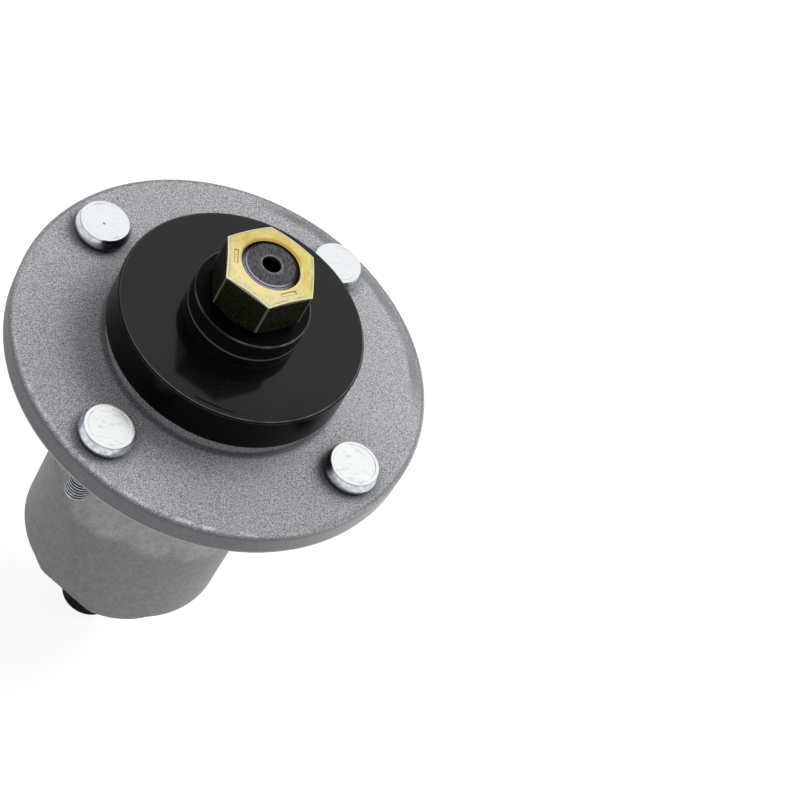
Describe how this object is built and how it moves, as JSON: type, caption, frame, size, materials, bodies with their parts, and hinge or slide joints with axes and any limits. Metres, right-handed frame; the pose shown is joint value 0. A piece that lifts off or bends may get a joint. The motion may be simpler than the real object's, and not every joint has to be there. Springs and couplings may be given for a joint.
{
  "type": "mower deck spindle",
  "caption": "Mower deck spindle: cast housing with a round bolted flange, sealed ball bearings and a splined shaft that carries a blade disc, washer and hex nut.",
  "frame": {"origin": "centre of the flange face that bolts against the mower deck", "axes": "+Z along the spindle axis towards the blade nut, as pictured; in use this end points down under the deck. +X midway between two mounting bolts."},
  "size_m": [0.1424, 0.1424, 0.2052],
  "materials": {
    "cast_aluminium": "shot-blasted casting, satin",
    "bright_zinc": "bright zinc plate",
    "black_oxide_steel": "black oxide, oiled",
    "plain_steel": "drawn tube, oiled",
    "satin_black": "satin black coating",
    "black_steel": "satin black coating",
    "yellow_zinc": "yellow chromate zinc plate",
    "bearing_steel": "ground bearing steel",
    "cage_plastic": "moulded polyamide",
    "seal_rubber": "moulded rubber"
  },
  "bodies": {
    "housing": {"housing": "cast_aluminium", "mounting_bolts": "bright_zinc", "blade_bearing_outer_ring": "bearing_steel", "blade_bearing_outside_seal": "seal_rubber", "blade_bearing_inside_seal": "seal_rubber", "drive_bearing_outer_ring": "bearing_steel", "drive_bearing_outside_seal": "seal_rubber", "drive_bearing_inside_seal": "seal_rubber"},
    "spindle": {"spindle_shaft": "black_oxide_steel", "bearing_spacer": "plain_steel", "blade_disc": "satin_black", "blade_washer": "black_steel", "blade_nut": "yellow_zinc", "blade_bearing_inner_ring": "bearing_steel", "drive_bearing_inner_ring": "bearing_steel"},
    "blade_ball_set": {"blade_bearing_balls": "bearing_steel", "blade_bearing_cage": "cage_plastic"},
    "drive_ball_set": {"drive_bearing_balls": "bearing_steel", "drive_bearing_cage": "cage_plastic"}
  },
  "joints": [
    {"name": "spindle_spin", "type": "hinge", "parent": "housing", "child": "spindle", "pos_m": [0, 0, 0], "axis": [0, 0, 1], "continuous": true},
    {"name": "blade_ball_set_spin", "type": "hinge", "parent": "housing", "child": "blade_ball_set", "pos_m": [0, 0, 0.0049], "axis": [0, 0, 1], "continuous": true},
    {"name": "drive_ball_set_spin", "type": "hinge", "parent": "housing", "child": "drive_ball_set", "pos_m": [0, 0, -0.1039], "axis": [0, 0, 1], "continuous": true}
  ],
  "couplings": [
    {"joint": "blade_ball_set_spin", "follows": "spindle_spin", "ratio": 0.39823},
    {"joint": "drive_ball_set_spin", "follows": "spindle_spin", "ratio": 0.39823}
  ]
}
